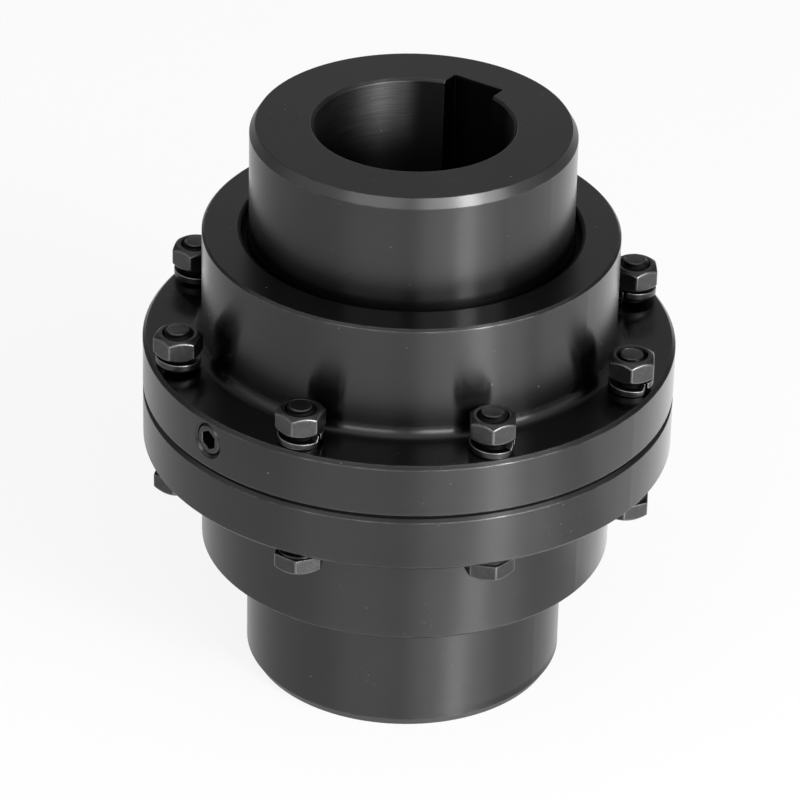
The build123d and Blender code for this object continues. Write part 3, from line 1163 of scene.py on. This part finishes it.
@dataclass
class Studio:
    """White floor and surroundings, soft lamps, and the camera of the photograph.

    Sizes are in metres and angles in degrees. The dome grows lighter between two elevations. Its sides are
    dimmer: they begin, are full, fade and end at four angles from the front.
    """

    camera_angle: float = -55.9
    elevation: float = 30.26842
    roll: float = 1.29739
    distance: float = 1.34182
    focal_pixels: float = 4770.03
    frame_pixels: float = 800.0
    sensor: float = 36.0
    flange_radius: float = 0.0745
    right_offset: float = 0.028891 * flange_radius
    up_offset: float = 0.073381 * flange_radius
    target_height: float = 0.087
    farthest: float = 50.0
    floor_size: float = 9.0
    floor_matt: float = 0.85
    floor_white: float = 0.86
    floor_sheen: float = 0.27
    floor_sheen_roughness: float = 0.38
    dome_radius: float = 3.0
    dome_segments: int = 48
    dome_low: float = 0.08
    dome_high: float = 0.7
    dome_rise: tuple[float, float] = (4.0, 20.0)
    side_share: float = 0.4
    side_angles: tuple[float, float, float, float] = (90.0, 110.0, 145.0, 165.0)
    lamps: tuple[Lamp, ...] = (
        Lamp("key_lamp", azimuth=39.0, elevation=26.0, distance=1.6, width=0.3, height=0.42, level=30.0),
        Lamp("wide_lamp", azimuth=36.0, elevation=27.0, distance=1.7, width=1.75, height=0.6, level=6.8),
        Lamp("front_lamp", azimuth=-26.0, elevation=30.0, distance=1.6, width=1.0, height=0.45, level=3.4),
        Lamp("table_lamp", 120.0, -7.0, distance=0.68, width=1.1, height=1.1, level=0.45, lying=True),
        Lamp("near_table_lamp", 95.0, -22.0, distance=0.22, width=0.32, height=0.32, level=0.25, lying=True),
    )

    def build(self) -> None:
        """Sets up everything round the object."""
        self.surroundings()
        self.floor()
        self.dome()
        for lamp in self.lamps:
            self.hang(lamp)
        self.camera()
        log.info("studio: %d lamps, floor, dome and camera", len(self.lamps))

    def direction(self, azimuth: float, elevation: float) -> Vector:
        """Unit direction out from the object, measured from the camera's side to the right."""
        angle = math.radians(self.camera_angle + azimuth)
        rise = math.radians(elevation)
        return Vector((math.cos(angle) * math.cos(rise), math.sin(angle) * math.cos(rise), math.sin(rise)))

    def seen_white(self, recipe: Recipe) -> Signal:
        """1 for the rays that see the background, 0 for the light itself."""
        rays = ("Is Camera Ray", "Is Glossy Ray", "Is Transmission Ray")
        camera, glossy, through = (recipe.node("LightPath", {}, ray) for ray in rays)
        return recipe.clamp(camera + glossy + through)

    def surroundings(self) -> None:
        """A white world that gives soft light."""
        world = bpy.data.worlds.new("studio_world")
        bpy.context.scene.world = world
        world.use_nodes = True
        recipe = Recipe(tree=world.node_tree)
        level = self.dome_high + (1.0 - self.dome_high) * self.seen_white(recipe)
        light = recipe.node("Background", {"Color": grey(1.0), "Strength": level})
        recipe.node("OutputWorld", {"Surface": light})

    def floor(self) -> None:
        """A white floor with a soft sheen, which keeps a faint shadow."""
        floor = add(bpy.ops.mesh.primitive_plane_add, "studio_floor", size=self.floor_size)
        recipe = Recipe("studio_white")
        matt = recipe.node("BsdfDiffuse", {"Color": grey(self.floor_matt)})
        white = recipe.node("Emission", {"Color": grey(1.0), "Strength": 1.0})
        share = self.floor_white * self.seen_white(recipe)
        plain = recipe.node("MixShader", {0: share, 1: matt, 2: white})
        sockets = {"Color": grey(1.0), "Roughness": self.floor_sheen_roughness}
        gloss = recipe.node("BsdfGlossy", sockets)
        sheen = self.floor_sheen * recipe.node("LightPath", {}, "Is Glossy Ray")
        mixed = recipe.node("MixShader", {0: sheen, 1: plain, 2: gloss})
        dress(floor, [recipe.close(mixed)])

    def dome(self) -> None:
        """The dim room round the object, lighter higher up, which the camera doesn't see."""
        sphere = bpy.ops.mesh.primitive_uv_sphere_add
        segments, radius = self.dome_segments, self.dome_radius
        dome = add(sphere, "studio_dome", segments=segments, ring_count=segments // 2, radius=radius)
        recipe = Recipe("studio_grey")
        outward = recipe.vector("NORMALIZE", {0: recipe.place()})
        start, end = (math.sin(math.radians(angle)) for angle in self.dome_rise)
        risen = recipe.fade(recipe.part(outward, "Z"), start, end)
        front = recipe.vector("DOT_PRODUCT", {0: outward, 1: self.direction(0.0, 0.0)}, "Value")
        begin, full, fade, last = (math.cos(math.radians(angle)) for angle in self.side_angles)
        beside = recipe.fade(front, begin, full) * (1.0 - recipe.fade(front, fade, last))
        high = self.dome_high * (1.0 - (1.0 - self.side_share) * beside)
        level = self.dome_low + (high - self.dome_low) * risen
        glow = recipe.node("Emission", {"Color": grey(1.0), "Strength": level})
        dress(dome, [recipe.close(glow)])
        dome.visible_camera = False
        dome.visible_shadow = False

    def hang(self, lamp: Lamp) -> None:
        """Hangs one lamp so that it faces the object."""
        light = bpy.data.lights.new(lamp.name, "AREA")
        light.shape = "RECTANGLE"
        light.size = lamp.width
        light.size_y = lamp.height
        light.energy = lamp.energy()
        holder = bpy.data.objects.new(lamp.name, light)
        bpy.context.scene.collection.objects.link(holder)
        out = self.direction(lamp.azimuth, lamp.elevation)
        holder.location = Vector((0, 0, self.target_height)) + out * lamp.distance
        facing = Vector((0.0, 0.0, -1.0)) if lamp.lying else out
        holder.rotation_euler = facing.to_track_quat("Z", "Y").to_euler()
        holder.visible_camera = False

    def camera(self) -> None:
        """The camera at the photograph's place and angle."""
        out = self.direction(0.0, self.elevation)
        right = self.direction(90.0, 0.0)
        up = out.cross(right)
        place = Vector((0, 0, self.target_height)) + out * self.distance
        place = place - right * self.right_offset - up * self.up_offset
        tilt = math.radians(self.roll)
        camera_right = right * math.cos(tilt) + up * math.sin(tilt)
        camera_up = up * math.cos(tilt) - right * math.sin(tilt)
        data = bpy.data.cameras.new("photo_camera")
        data.sensor_width = self.sensor
        data.lens = self.sensor * self.focal_pixels / self.frame_pixels
        data.clip_end = self.farthest
        camera = bpy.data.objects.new("photo_camera", data)
        bpy.context.scene.collection.objects.link(camera)
        axes = Matrix((camera_right, camera_up, out)).transposed().to_4x4()
        camera.matrix_world = Matrix.Translation(place) @ axes
        bpy.context.scene.camera = camera
        bpy.context.scene.view_settings.view_transform = "Standard"


def main() -> None:
    """Builds the coupling's looks and the studio, in order."""
    logging.basicConfig(level=logging.INFO, format="%(message)s")
    layout = Layout()
    TurnedParts().build()
    dress_soft_rings()
    Fasteners(layout).build()
    GreasePlugs(layout).build()
    Studio().build()


if __name__ == "__main__":
    main()
